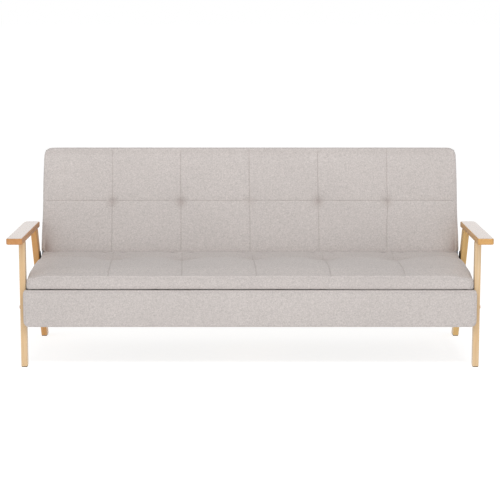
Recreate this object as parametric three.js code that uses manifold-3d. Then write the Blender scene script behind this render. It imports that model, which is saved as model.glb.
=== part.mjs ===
// A three-seat sofa bed on two open wooden side frames, in millimetres.
// +X is the sitter's left-to-right as seen from the front, +Y is to the rear, +Z is up.
// The origin is on the floor, at the middle of the footprint.
import * as THREE from "three";
import { mergeVertices } from "three/addons/utils/BufferGeometryUtils.js";
import Module from "manifold-3d";

const wasm = await Module();
wasm.setup();

// ---------------------------------------------------------------- driving dimensions

const GAP = 0.4; // left between pieces that touch
const FRONT = -299.25; // front face of the front legs

// side frames
const LEG_INNER_X = 908;
const WOOD = 25; // thickness of every leg, rail and armrest in the side frames
const LEG_OUTER_X = LEG_INNER_X + WOOD;
const ARM_TOP_Z = 540;
const ARM_WIDTH = 65;
const ARM_OVERHANG = 71; // armrest in front of the front leg
const ARM_LENGTH = 528;
const FRONT_LEG_DEPTH = 35;
const REAR_LEG_DEPTH = 56; // measured level, so the raked plank is narrower
const REAR_LEG_FOOT_Y = FRONT + 615; // front face of the rear leg at the floor
const REAR_LEG_RAKE = 0.534; // how far the rear leg leans forward for each unit of height
const GLIDE_HEIGHT = 3;
const SIDE_RAIL_Z = [195, 250];
const ARM_CORNERS = [9, 12, 22, 9]; // radii in plan: inner front, outer front, outer rear, inner rear
const ARM_EDGE = 4.5;
const WOOD_EDGE = 2.5; // rounding of the long edges of the legs and rails

// fixed base between the side frames
const BASE_RAIL_THICK = 24;
const FRONT_RAIL_Z = [183, 313];
const REAR_RAIL_Z = [185, 257];
const REAR_RAIL_Y = FRONT + 511;
const PANEL_HALF = 917;
const PANEL_Z = [171, 323];
const PANEL_THICK = 29.7;
const REST_INNER_X = 862; // inner end of the angle that the seat's corner rests on
const REST_STRIP_WIDTH = 18; // foam rubber strip that the seat comes down on

// cushions
const CUSHION_HALF = 896.5;
const FRAME_HALF = 893; // timber frames under the fabric
const SEAT_FRONT = FRONT - 22;
const SEAT_REAR = FRONT + 521;
const SEAT_BOTTOM_Z = 327;
const SEAT_FRAME_THICK = 31;
const SEAT_REAR_TOP_Z = 400;
const SEAT_REAR_ROUND = 30;
const DUST_COVER = 1.2; // thin cloth closing the seat frame underneath
const FABRIC_WRAP = 3.5; // cover between a frame's edge and the cushion's outline

// back, drawn in its own frame: y to the rear from its front plane, z up its length
const BACK_TILT = THREE.MathUtils.degToRad(15);
const BACK_FOOT_Y = FRONT + 430.1;
const BACK_FOOT_Z = 406;
const BACK_LENGTH = 464;
const BACK_CROWN = 6;
const BACK_FOAM = 56;
const BACK_FRAME_THICK = 28;
const BACK_FRAME_Z = [28, 456];
const BACK_TOP_CORNER = 32;
const BACK_EDGE_ROUND = 14;
const REAR_COVER_THICK = 2.6;

// timber sections inside the cushions
const SEAT_RAIL_WIDTH = 30;
const BACK_RAIL_WIDTH = 44;
const SLAT_WIDTH = 60;
const SLAT_THICK = 18;
const SLAT_X = [-450, 0, 450];

// click-clack hinges, one in the gap at each side
const PIVOT_Y = FRONT + 478;
const PIVOT_Z = 335;
const PIVOT_RADIUS = 5;
const HINGE_EYE = 19; // radius of the eyes round the pivot
const PLATE_X = [904.8, 907.6];
const BACK_ARM_X = [901.9, 904.4];
const SEAT_ARM_X = [899, 901.5];
const PACKING_X = 897.4; // inner face of the packing pads on both arms
const PLATE_TOP_Y = FRONT + 434;
const PLATE_TOP_Z = 396;
const SEAT_ARM_TIP = [FRONT + 330, 345.5];
const SEAT_BOLT_Y = [FRONT + 345, FRONT + 405];
const SEAT_BOLT_Z = 345.5;
const BACK_BOLT_DEPTH = 70.4; // in the back's own frame
const BACK_BOLT_LENGTH = [56, 116];
const BOLT = { radius: 3, head: 6.5, headHeight: 2.6 };
const FRAME_BOLT = { radius: 4, head: 7.5, headHeight: 2.2 };
const PIVOT_BOLT = { radius: PIVOT_RADIUS, head: 9, headHeight: 3.5 };
const HOLE_CLEARANCE = 0.3;
const ROUND_SIDES = 16;

// ---------------------------------------------------------------- materials

const wood = new THREE.MeshStandardMaterial({ color: 0xd9b384, roughness: 0.45 });
const timber = new THREE.MeshStandardMaterial({ color: 0xe0c9a0, roughness: 0.75 });
const fabric = new THREE.MeshStandardMaterial({ color: 0xcbc3be, roughness: 0.95 });
const cloth = new THREE.MeshStandardMaterial({ color: 0x2a2a2c, roughness: 0.95 });
const steel = new THREE.MeshStandardMaterial({ color: 0x1b1b1c, roughness: 0.5, metalness: 0.6 });
const zinc = new THREE.MeshStandardMaterial({ color: 0x9a9b9e, roughness: 0.35, metalness: 1 });
const bronze = new THREE.MeshStandardMaterial({ color: 0x6d4a30, roughness: 0.4, metalness: 1 });
const rubber = new THREE.MeshStandardMaterial({ color: 0x202022, roughness: 0.85 });

// ---------------------------------------------------------------- shapes

// A closed outline through straight corners.
function outline(points) {
  return new THREE.Shape(points.map(([a, b]) => new THREE.Vector2(a, b)));
}

// A rectangle with a radius at each corner: low-left, low-right, high-right, high-left.
function roundedRectangle(a0, b0, a1, b1, [r0, r1, r2, r3]) {
  const shape = new THREE.Shape();
  shape.moveTo(a0 + r0, b0);
  shape.lineTo(a1 - r1, b0);
  shape.absarc(a1 - r1, b0 + r1, r1, -Math.PI / 2, 0);
  shape.lineTo(a1, b1 - r2);
  shape.absarc(a1 - r2, b1 - r2, r2, 0, Math.PI / 2);
  shape.lineTo(a0 + r3, b1);
  shape.absarc(a0 + r3, b1 - r3, r3, Math.PI / 2, Math.PI);
  shape.lineTo(a0, b0 + r0);
  shape.absarc(a0 + r0, b0 + r0, r0, Math.PI, 1.5 * Math.PI);
  return shape;
}

// The outline of a strap: two round ends of different radii with straight sides between them.
function strap([a0, b0], r0, [a1, b1], r1) {
  const along = Math.atan2(b1 - b0, a1 - a0);
  const lean = Math.acos((r0 - r1) / Math.hypot(a1 - a0, b1 - b0));
  const shape = new THREE.Shape();
  shape.absarc(a0, b0, r0, along + lean, along - lean + 2 * Math.PI);
  shape.absarc(a1, b1, r1, along - lean, along + lean);
  shape.closePath();
  return shape;
}

// Extrudes an outline over a length, keeping its size where the edges are rounded.
function extrude(shape, length, edge = 0, edgeSteps = 2) {
  return new THREE.ExtrudeGeometry(shape, {
    depth: length - 2 * edge,
    bevelEnabled: edge > 0,
    bevelThickness: edge,
    bevelSize: edge,
    bevelOffset: -edge,
    bevelSegments: edgeSteps,
    curveSegments: 6,
  }).translate(0, 0, edge);
}

// An outline in (y, z), extruded from x0 to x1.
function alongX(shape, x0, x1, edge) {
  const toX = new THREE.Matrix4().set(0, 0, 1, x0, 1, 0, 0, 0, 0, 1, 0, 0, 0, 0, 0, 1);
  return extrude(shape, x1 - x0, edge).applyMatrix4(toX);
}

// An outline in (x, z), extruded from y0 to y1.
function alongY(shape, y0, y1, edge, edgeSteps) {
  const toY = new THREE.Matrix4().set(1, 0, 0, 0, 0, 0, -1, y1, 0, 1, 0, 0, 0, 0, 0, 1);
  return extrude(shape, y1 - y0, edge, edgeSteps).applyMatrix4(toY);
}

// An outline in (x, y), extruded from z0 to z1.
function alongZ(shape, z0, z1, edge, edgeSteps) {
  return extrude(shape, z1 - z0, edge, edgeSteps).translate(0, 0, z0);
}

// A square-cornered bar between two opposite corners, with softened long edges.
function bar([x0, y0, z0], [x1, y1, z1], edge = 1.2) {
  return alongX(outline([[y0, z0], [y1, z0], [y1, z1], [y0, z1]]), x0, x1, edge);
}

// A round bar along X, centred on (y, z).
function rod(radius, x0, x1, y, z) {
  return new THREE.CylinderGeometry(radius, radius, x1 - x0, ROUND_SIDES)
    .rotateZ(Math.PI / 2)
    .translate((x0 + x1) / 2, y, z);
}

// ---------------------------------------------------------------- cutting and joining

function toSolid(geometry) {
  const bare = geometry.clone();
  bare.deleteAttribute("normal");
  bare.deleteAttribute("uv");
  const merged = mergeVertices(bare, 1e-3);
  return new wasm.Manifold(
    new wasm.Mesh({
      numProp: 3,
      vertProperties: merged.attributes.position.array,
      triVerts: new Uint32Array(merged.index.array),
    }),
  );
}

function toGeometry(solid) {
  const mesh = solid.getMesh();
  const geometry = new THREE.BufferGeometry();
  geometry.setAttribute("position", new THREE.BufferAttribute(mesh.vertProperties, 3));
  geometry.setIndex(new THREE.BufferAttribute(mesh.triVerts, 1));
  geometry.computeVertexNormals();
  return geometry;
}

function cut(geometry, ...tools) {
  return toGeometry(tools.reduce((left, tool) => left.subtract(toSolid(tool)), toSolid(geometry)));
}

function join(...geometries) {
  return toGeometry(geometries.map(toSolid).reduce((all, next) => all.add(next)));
}

function common(one, other) {
  return toGeometry(toSolid(one).intersect(toSolid(other)));
}

// ---------------------------------------------------------------- assembly

const sofa = new THREE.Group();

function add(group, name, geometry, material) {
  const mesh = new THREE.Mesh(geometry, material);
  mesh.name = name;
  group.add(mesh);
  return mesh;
}

// The piece as drawn at +X, and its mirror image at -X.
function addPair(group, name, geometry, material) {
  add(group, `${name}_right`, geometry, material);
  add(group, `${name}_left`, geometry, material).scale.x = -1;
}

// A bolt along X, its head outside at +X, its shank reaching in to xEnd.
function bolt({ radius, head, headHeight }, xEnd, xHead, y, z) {
  return join(
    rod(radius, xEnd, xHead + headHeight / 2, y, z),
    rod(head, xHead, xHead + headHeight, y, z),
  );
}

const rearLegFront = (z) => REAR_LEG_FOOT_Y - REAR_LEG_RAKE * z;
const FRONT_BOLT = [FRONT + 14, 248];
const REAR_BOLT = [REAR_RAIL_Y + BASE_RAIL_THICK / 2, 221];

function addSideFrames() {
  const under = ARM_TOP_Z - WOOD - GAP;
  const foot = GLIDE_HEIGHT + GAP;
  const armOutline = roundedRectangle(
    LEG_INNER_X,
    FRONT - ARM_OVERHANG,
    LEG_INNER_X + ARM_WIDTH,
    FRONT - ARM_OVERHANG + ARM_LENGTH,
    ARM_CORNERS,
  );
  addPair(sofa, "armrest", alongZ(armOutline, ARM_TOP_Z - WOOD, ARM_TOP_Z, ARM_EDGE, 4), wood);

  const frontLeg = alongX(
    outline([
      [FRONT, foot],
      [FRONT + FRONT_LEG_DEPTH, foot],
      [FRONT + FRONT_LEG_DEPTH, under],
      [FRONT, under],
    ]),
    LEG_INNER_X,
    LEG_OUTER_X,
    WOOD_EDGE,
  );
  const frontHole = rod(FRAME_BOLT.radius + HOLE_CLEARANCE, 900, 940, ...FRONT_BOLT);
  addPair(sofa, "front_leg", cut(frontLeg, frontHole), wood);

  const rearLeg = alongX(
    outline([
      [rearLegFront(foot), foot],
      [rearLegFront(foot) + REAR_LEG_DEPTH, foot],
      [rearLegFront(under) + REAR_LEG_DEPTH, under],
      [rearLegFront(under), under],
    ]),
    LEG_INNER_X,
    LEG_OUTER_X,
    WOOD_EDGE,
  );
  const rearHoles = [
    rod(FRAME_BOLT.radius + HOLE_CLEARANCE, 900, 940, ...REAR_BOLT),
    rod(FRAME_BOLT.radius + HOLE_CLEARANCE, 900, 940, PLATE_TOP_Y, PLATE_TOP_Z),
    rod(PIVOT_RADIUS + HOLE_CLEARANCE, 900, 940, PIVOT_Y, PIVOT_Z),
  ];
  addPair(sofa, "rear_leg", cut(rearLeg, ...rearHoles), wood);

  const [low, high] = SIDE_RAIL_Z;
  const railStart = FRONT + FRONT_LEG_DEPTH + GAP;
  const sideRail = outline([
    [railStart, low],
    [rearLegFront(low) - GAP, low],
    [rearLegFront(high) - GAP, high],
    [railStart, high],
  ]);
  addPair(sofa, "side_rail", alongX(sideRail, LEG_INNER_X, LEG_OUTER_X, WOOD_EDGE), wood);

  const glide = (y, depth) =>
    bar([LEG_INNER_X + 1.5, y + 1.5, 0], [LEG_OUTER_X - 1.5, y + depth - 1.5, GLIDE_HEIGHT], 0.6);
  addPair(sofa, "foot_glide_front", glide(FRONT, FRONT_LEG_DEPTH), rubber);
  addPair(sofa, "foot_glide_rear", glide(rearLegFront(0), REAR_LEG_DEPTH), rubber);
}

function addBase() {
  const half = LEG_INNER_X - GAP;
  const boltEnd = half - 27;
  const endHoles = ([y, z]) =>
    [-1, 1].map((side) =>
      rod(
        FRAME_BOLT.radius + HOLE_CLEARANCE,
        Math.min(side * (boltEnd - 1), side * (half + 5)),
        Math.max(side * (boltEnd - 1), side * (half + 5)),
        y,
        z,
      ),
    );
  const frontRail = bar(
    [-half, FRONT, FRONT_RAIL_Z[0]],
    [half, FRONT + BASE_RAIL_THICK, FRONT_RAIL_Z[1]],
  );
  add(sofa, "base_front_rail", cut(frontRail, ...endHoles(FRONT_BOLT)), timber);
  const rearRail = bar(
    [-half, REAR_RAIL_Y, REAR_RAIL_Z[0]],
    [half, REAR_RAIL_Y + BASE_RAIL_THICK, REAR_RAIL_Z[1]],
  );
  add(sofa, "base_rear_rail", cut(rearRail, ...endHoles(REAR_BOLT)), timber);
  const crossRail = bar(
    [-22, FRONT + BASE_RAIL_THICK + GAP, 200],
    [22, REAR_RAIL_Y - GAP, 250],
  );
  add(sofa, "base_cross_rail", crossRail, timber);

  const boltNames = { rail_bolt_front: FRONT_BOLT, rail_bolt_rear: REAR_BOLT };
  for (const [name, [y, z]] of Object.entries(boltNames)) {
    addPair(sofa, name, bolt(FRAME_BOLT, boltEnd, LEG_OUTER_X + GAP, y, z), bronze);
  }

  const [low, high] = PANEL_Z;
  const panel = alongY(
    roundedRectangle(-PANEL_HALF, low, PANEL_HALF, high, [20, 20, 16, 16]),
    FRONT - GAP - PANEL_THICK,
    FRONT - GAP,
    9,
    3,
  );
  add(sofa, "front_panel", panel, fabric);

  const upright = bar(
    [PLATE_X[0], FRONT + 6, FRONT_RAIL_Z[1] + 1],
    [PLATE_X[1], FRONT + 32, SEAT_BOTTOM_Z + 8],
    0.5,
  );
  const shelfTop = SEAT_BOTTOM_Z - DUST_COVER - 2 * GAP;
  const shelf = bar([REST_INNER_X, FRONT + 6, shelfTop - 3], [PLATE_X[1] - 0.2, FRONT + 32, shelfTop], 0.5);
  const web = bar(
    [REST_INNER_X, FRONT + 6, FRONT_RAIL_Z[1] + 1],
    [PLATE_X[1] - 0.2, FRONT + 9, shelfTop - 1],
    0.5,
  );
  addPair(sofa, "seat_rest_bracket", join(upright, shelf, web), steel);

  const strip = bar(
    [-REST_INNER_X + 4, FRONT + 3, FRONT_RAIL_Z[1] + GAP],
    [REST_INNER_X - 4, FRONT + 3 + REST_STRIP_WIDTH, shelfTop],
    2,
  );
  add(sofa, "seat_rest_strip", strip, rubber);
}

function addHinges() {
  const pivot = [PIVOT_Y, PIVOT_Z];
  const pivotHole = rod(PIVOT_RADIUS + HOLE_CLEARANCE, 890, 915, ...pivot);
  const plateTop = [PLATE_TOP_Y, PLATE_TOP_Z];
  const plateHole = rod(FRAME_BOLT.radius + HOLE_CLEARANCE, 890, 915, ...plateTop);
  const plate = alongX(strap(pivot, HINGE_EYE, plateTop, HINGE_EYE - 2), ...PLATE_X, 0.4);
  addPair(sofa, "hinge_base_plate", cut(plate, pivotHole, plateHole), steel);

  const pivotStart = SEAT_ARM_X[0] - 0.2;
  addPair(sofa, "hinge_pivot_bolt", bolt(PIVOT_BOLT, pivotStart, LEG_OUTER_X + GAP, ...pivot), bronze);
  const plateStart = PLATE_X[0] + 0.2;
  addPair(sofa, "hinge_plate_bolt", bolt(FRAME_BOLT, plateStart, LEG_OUTER_X + GAP, ...plateTop), bronze);

  const seatArm = join(
    alongX(strap(pivot, HINGE_EYE, SEAT_ARM_TIP, 14), ...SEAT_ARM_X, 0.4),
    alongX(strap([SEAT_BOLT_Y[1], SEAT_BOLT_Z], 14, SEAT_ARM_TIP, 13), PACKING_X, SEAT_ARM_X[1] - 1, 0.4),
  );
  const seatHoles = SEAT_BOLT_Y.map((y) =>
    rod(BOLT.radius + HOLE_CLEARANCE, 890, 915, y, SEAT_BOLT_Z),
  );
  addPair(sofa, "hinge_seat_arm", cut(seatArm, pivotHole, ...seatHoles), steel);

  const [boltLow, boltHigh] = BACK_BOLT_LENGTH.map(backPoint);
  const backTip = backPoint(BACK_BOLT_LENGTH[1] + 12);
  const backArm = join(
    alongX(strap(pivot, HINGE_EYE, boltLow, 15), ...BACK_ARM_X, 0.4),
    alongX(strap(boltLow, 15, backTip, 13), PACKING_X, BACK_ARM_X[1], 0.4),
  );
  const backHoles = [boltLow, boltHigh].map(([y, z]) =>
    rod(BOLT.radius + HOLE_CLEARANCE, 890, 915, y, z),
  );
  addPair(sofa, "hinge_back_arm", cut(backArm, pivotHole, ...backHoles), steel);

  SEAT_BOLT_Y.forEach((y, i) => {
    const place = ["front", "rear"][i];
    addPair(sofa, `seat_arm_bolt_${place}`, bolt(BOLT, 870, SEAT_ARM_X[1] + 0.1, y, SEAT_BOLT_Z), zinc);
  });
  [boltLow, boltHigh].forEach(([y, z], i) => {
    const place = ["lower", "upper"][i];
    addPair(sofa, `back_arm_bolt_${place}`, bolt(BOLT, 870, BACK_ARM_X[1] + 0.1, y, z), zinc);
  });
}

// A point at the hinge bolts' depth in the back, as (y, z) in the sofa's frame.
function backPoint(length) {
  const cos = Math.cos(BACK_TILT);
  const sin = Math.sin(BACK_TILT);
  return [
    BACK_FOOT_Y + length * sin + BACK_BOLT_DEPTH * cos,
    BACK_FOOT_Z + length * cos - BACK_BOLT_DEPTH * sin,
  ];
}

function addSeat() {
  const low = SEAT_BOTTOM_Z;
  const high = SEAT_BOTTOM_Z + SEAT_FRAME_THICK;
  const front = SEAT_FRONT + FABRIC_WRAP;
  const rear = SEAT_REAR - FABRIC_WRAP;
  const width = SEAT_RAIL_WIDTH;
  const frontRail = bar([-FRAME_HALF, front, low], [FRAME_HALF, front + width, high]);
  add(sofa, "seat_frame_front_rail", frontRail, timber);
  const rearRail = bar([-FRAME_HALF, rear - width, low], [FRAME_HALF, rear, high]);
  add(sofa, "seat_frame_rear_rail", rearRail, timber);
  const between = [front + width + GAP, rear - width - GAP];
  const sideRail = bar([FRAME_HALF - width, between[0], low], [FRAME_HALF, between[1], high]);
  const holes = SEAT_BOLT_Y.map((y) =>
    rod(BOLT.radius + HOLE_CLEARANCE, 869, 915, y, SEAT_BOLT_Z),
  );
  addPair(sofa, "seat_frame_side_rail", cut(sideRail, ...holes), timber);
  const dustCover = bar(
    [-FRAME_HALF + 2, front + 2, low - GAP - DUST_COVER],
    [FRAME_HALF - 2, rear - 2, low - GAP],
    0.4,
  );
  add(sofa, "seat_dust_cover", dustCover, cloth);
  SLAT_X.forEach((x, i) => {
    const slat = bar(
      [x - SLAT_WIDTH / 2, between[0], high - SLAT_THICK],
      [x + SLAT_WIDTH / 2, between[1], high],
    );
    add(sofa, `seat_slat_${i + 1}`, slat, timber);
  });

  const base = high + GAP;
  const profile = new THREE.Shape();
  profile.moveTo(SEAT_FRONT, base);
  profile.lineTo(SEAT_FRONT, 368);
  profile.quadraticCurveTo(SEAT_FRONT, 386, FRONT, 389);
  profile.bezierCurveTo(FRONT + 90, 410, FRONT + 330, 410, FRONT + 405, 404);
  profile.quadraticCurveTo(FRONT + 420, 403, FRONT + 434, SEAT_REAR_TOP_Z);
  profile.lineTo(SEAT_REAR - SEAT_REAR_ROUND, SEAT_REAR_TOP_Z);
  profile.absarc(
    SEAT_REAR - SEAT_REAR_ROUND,
    SEAT_REAR_TOP_Z - SEAT_REAR_ROUND,
    SEAT_REAR_ROUND,
    Math.PI / 2,
    0,
    true,
  );
  profile.lineTo(SEAT_REAR, base);
  const plan = roundedRectangle(-CUSHION_HALF, SEAT_FRONT, CUSHION_HALF, SEAT_REAR, [12, 12, 20, 20]);
  const cushion = common(
    alongX(profile, -CUSHION_HALF, CUSHION_HALF, 0),
    alongZ(plan, base - 20, base + 70, 0),
  );
  add(sofa, "seat_cushion", cushion, fabric);
}

function addBack() {
  const back = new THREE.Group();
  back.position.set(0, BACK_FOOT_Y, BACK_FOOT_Z);
  back.rotation.x = -BACK_TILT;
  sofa.add(back);

  const [low, high] = BACK_FRAME_Z;
  const front = BACK_FOAM + GAP;
  const rear = front + BACK_FRAME_THICK;
  const width = BACK_RAIL_WIDTH;
  // the side rails run the whole height, so both hinge bolts land in them
  const sideRail = bar([FRAME_HALF - width, front, low], [FRAME_HALF, rear, high]);
  const holes = BACK_BOLT_LENGTH.map((length) =>
    rod(BOLT.radius + HOLE_CLEARANCE, 869, 915, BACK_BOLT_DEPTH, length),
  );
  addPair(back, "back_frame_side_rail", cut(sideRail, ...holes), timber);
  const inner = FRAME_HALF - width - GAP;
  add(back, "back_frame_bottom_rail", bar([-inner, front, low], [inner, rear, low + width]), timber);
  add(back, "back_frame_top_rail", bar([-inner, front, high - width], [inner, rear, high]), timber);
  const between = [low + width + GAP, high - width - GAP];
  SLAT_X.forEach((x, i) => {
    const slat = bar(
      [x - SLAT_WIDTH / 2, front, between[0]],
      [x + SLAT_WIDTH / 2, front + SLAT_THICK, between[1]],
    );
    add(back, `back_slat_${i + 1}`, slat, timber);
  });

  // the foam's foot is level when the back stands up, so it clears the seat all the way down
  const top = BACK_TOP_CORNER;
  const block = alongY(
    roundedRectangle(-CUSHION_HALF, -BACK_EDGE_ROUND, CUSHION_HALF, BACK_LENGTH, [18, 18, top, top]),
    -BACK_CROWN,
    BACK_FOAM + BACK_EDGE_ROUND,
    BACK_EDGE_ROUND,
    3,
  );
  const level = (y) => y * Math.tan(BACK_TILT);
  const belowFoot = alongX(
    outline([[-60, -80], [160, -80], [160, level(160)], [-60, level(-60)]]),
    -1000,
    1000,
    0,
  );
  const behindFoam = bar([-1000, BACK_FOAM, -100], [1000, 200, 600], 0);
  add(back, "back_cushion", cut(block, belowFoot, behindFoam), fabric);

  const coverStart = rear + GAP;
  const cover = alongY(
    roundedRectangle(-FRAME_HALF + 2, low + 2, FRAME_HALF - 2, high - 1, [10, 10, 26, 26]),
    coverStart,
    coverStart + REAR_COVER_THICK,
    0.8,
    1,
  );
  add(back, "back_rear_cover", cover, fabric);
}

addSideFrames();
addBase();
addHinges();
addSeat();
addBack();

export default sofa;
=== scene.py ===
"""A three-seat sofa bed: stitched and tufted fabric pads on two open wooden side frames."""

import math

import bpy
import numpy as np
from mathutils import Euler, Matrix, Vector
from mathutils.bvhtree import BVHTree


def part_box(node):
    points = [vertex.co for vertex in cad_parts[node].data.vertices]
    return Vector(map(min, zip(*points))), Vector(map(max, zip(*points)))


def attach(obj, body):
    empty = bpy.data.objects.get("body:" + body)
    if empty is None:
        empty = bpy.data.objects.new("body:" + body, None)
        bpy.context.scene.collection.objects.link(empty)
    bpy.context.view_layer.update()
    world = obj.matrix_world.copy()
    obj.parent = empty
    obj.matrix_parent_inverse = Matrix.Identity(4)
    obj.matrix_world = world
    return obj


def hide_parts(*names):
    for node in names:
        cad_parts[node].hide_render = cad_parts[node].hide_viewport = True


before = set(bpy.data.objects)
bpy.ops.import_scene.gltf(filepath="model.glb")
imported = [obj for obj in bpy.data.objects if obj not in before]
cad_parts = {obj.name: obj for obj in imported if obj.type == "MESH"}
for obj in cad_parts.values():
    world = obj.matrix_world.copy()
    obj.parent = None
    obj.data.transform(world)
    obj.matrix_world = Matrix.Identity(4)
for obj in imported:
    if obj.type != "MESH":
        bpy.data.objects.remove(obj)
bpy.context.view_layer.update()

# ---------------------------------------------------------------- measures, in metres

LEG_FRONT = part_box("front_leg_right")[0].y  # front face of the front legs
SEAT_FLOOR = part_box("seat_frame_front_rail")[0].z  # underside of the seat's frame
SEAT_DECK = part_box("seat_cushion")[0].z  # where the foam lies on the seat's frame

HALF_WIDTH = 0.8968  # half the width of the seat and of the back
BACK_TILT = math.radians(15)
BACK_FOOT = Vector((0, LEG_FRONT + 0.4301, 0.406))  # middle of the lower front edge
BACK_HEIGHT = 0.4595  # measured along the tilt
BACK_FOAM = 0.0563  # depth of the foam in front of the back's frame
BACK_DEPTH = 0.0848  # depth of the foam and the frame
LEG_RAKE = math.atan(0.534)  # how far the rear legs lean from upright

GRID_STEP = 0.009  # spacing of the pads' surface points
SIM_STEP = 0.011  # spacing of the simulated sheets' points
SIM_FRAMES = 20
CLUSTER = (0.0009, 0.0022, 0.005)  # extra points at these distances either side of a seam

TUFT_X = (-0.597, -0.298, 0.0, 0.298, 0.597)  # tufts and lengthwise seams, across the pads
SEAM_WIDTH = 0.0010
SEAM_DEPTH = 0.0013
STITCH_PITCH = 0.0075
STITCH_LENGTH = 0.0052
THREAD = 0.0011  # thickness of the sewing thread
# painted shade in the sewn lines' grooves, from 0 to 1
SEAM_SHADE = 0.95  # how dark a sewn line is, from 0 to 1


# ---------------------------------------------------------------- small tools


def smoothstep(low, high, x):
    t = np.clip((x - low) / (high - low), 0, 1)
    return t * t * (3 - 2 * t)


def bell(distance, width):
    return np.exp(-((distance / width) ** 2))


def tent(distance, reach):
    """How a tuft pulls the cloth round it down: a steep middle, and slacker further out."""
    blunt = 0.15 * reach
    return np.exp((blunt - np.hypot(distance, blunt)) / reach)


def ripples(u, v, seed, scale):
    """A smooth wavy field between about -1 and 1, made of a few sine waves; the same each run."""
    rng = np.random.default_rng(seed)
    total = np.zeros(np.broadcast(u, v).shape)
    for _ in range(7):
        angle = rng.uniform(0, math.pi)
        length = scale * rng.uniform(0.6, 1.7)
        phase = rng.uniform(0, 2 * math.pi)
        along = u * math.cos(angle) + v * math.sin(angle)
        total += np.sin(2 * math.pi * along / length + phase)
    return total / 4


def spaced(low, high, step, seams=()):
    """Values from low to high about a step apart, with extra ones close to each seam."""
    stops = sorted({low, high, *seams})
    values = set(stops)
    for a, b in zip(stops, stops[1:]):
        near_a = max(CLUSTER) if a in seams else 0
        near_b = max(CLUSTER) if b in seams else 0
        count = max(1, round((b - a - near_a - near_b) / step))
        values.update(np.linspace(a + near_a, b - near_b, count + 1).round(7).tolist())
    for seam in seams:
        for d in CLUSTER:
            values.update((round(seam - d, 7), round(seam + d, 7)))
    return np.array(sorted(values))


def cubic(values, at):
    """Smooth interpolation along the first axis, at positions counted in its steps."""
    last = len(values) - 1
    i = np.clip(np.floor(at).astype(int), 0, last - 1)
    f = (at - i).reshape(-1, *[1] * (values.ndim - 1))
    p0, p1 = values[np.maximum(i - 1, 0)], values[i]
    p2, p3 = values[i + 1], values[np.minimum(i + 2, last)]
    bend = (2 * p0 - 5 * p1 + 4 * p2 - p3) * f**2 + (3 * p1 - p0 - 3 * p2 + p3) * f**3
    return 0.5 * (2 * p1 + (p2 - p0) * f + bend)


def grid_faces(rows, cols):
    start = (np.arange(rows - 1)[:, None] * cols + np.arange(cols - 1)).reshape(-1)
    return np.stack([start, start + 1, start + cols + 1, start + cols], 1)


def grid_rim(rows, cols):
    """The grid's outermost points, in order all the way round."""
    index = np.arange(rows * cols).reshape(rows, cols)
    return np.concatenate([index[0], index[1:, -1], index[-1, -2::-1], index[-2:0:-1, 0]])


def new_object(name, points, faces, material=None, smooth=True):
    mesh = bpy.data.meshes.new(name)
    mesh.from_pydata(np.asarray(points, float).tolist(), [], [list(map(int, f)) for f in faces])
    mesh.validate()
    mesh.polygons.foreach_set("use_smooth", [smooth] * len(mesh.polygons))
    obj = bpy.data.objects.new(name, mesh)
    bpy.context.scene.collection.objects.link(obj)
    if material:
        mesh.materials.append(material)
    return obj


# ---------------------------------------------------------------- shader tools


class Nodes:
    """A material's node tree, with short calls for what the materials below need."""

    def __init__(self, name):
        self.material = bpy.data.materials.new(name)
        self.material.use_nodes = True
        self.tree = self.material.node_tree
        self.shader = self.tree.nodes["Principled BSDF"]

    def add(self, kind, inputs=None, **settings):
        node = self.tree.nodes.new("ShaderNode" + kind)
        for key, value in settings.items():
            setattr(node, key, value)
        for key, value in (inputs or {}).items():
            self.put(node.inputs[key], value)
        return node

    def put(self, socket, value):
        if isinstance(value, bpy.types.NodeSocket):
            self.tree.links.new(value, socket)
        else:
            socket.default_value = value

    def math(self, operation, a, b=0.0):
        return self.add("Math", {0: a, 1: b}, operation=operation).outputs[0]

    def mix(self, amount, a, b):
        node = self.add("Mix", data_type="RGBA")
        self.put(node.inputs["Factor"], amount)
        self.put(node.inputs["A"], a)
        self.put(node.inputs["B"], b)
        return node.outputs["Result"]

    def noise(self, vector, scale, detail=2.0, roughness=0.5):
        inputs = {"Vector": vector, "Scale": scale, "Detail": detail, "Roughness": roughness}
        return self.add("TexNoise", inputs).outputs["Fac"]

    def patches(self, vector):
        """A random value for each of many small cells."""
        colour = self.add("TexVoronoi", {"Vector": vector, "Scale": 1.0}).outputs["Color"]
        return self.add("SeparateColor", {0: colour}).outputs[0]

    def spread(self, value, low, high, to_low=0.0, to_high=1.0):
        inputs = {0: value, 1: low, 2: high, 3: to_low, 4: to_high}
        return self.add("MapRange", inputs).outputs[0]

    def stretched(self, source, scale, rotation=(0, 0, 0)):
        inputs = {"Vector": source, "Scale": scale, "Rotation": rotation}
        return self.add("Mapping", inputs).outputs[0]

    def bump(self, height, strength, distance):
        inputs = {"Height": height, "Strength": strength, "Distance": distance}
        self.put(self.shader.inputs["Normal"], self.add("Bump", inputs).outputs[0])

    def finish(self, **values):
        for key, value in values.items():
            self.put(self.shader.inputs[key.replace("_", " ")], value)
        return self.material


def rgb(red, green, blue):
    return (red, green, blue, 1.0)


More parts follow.
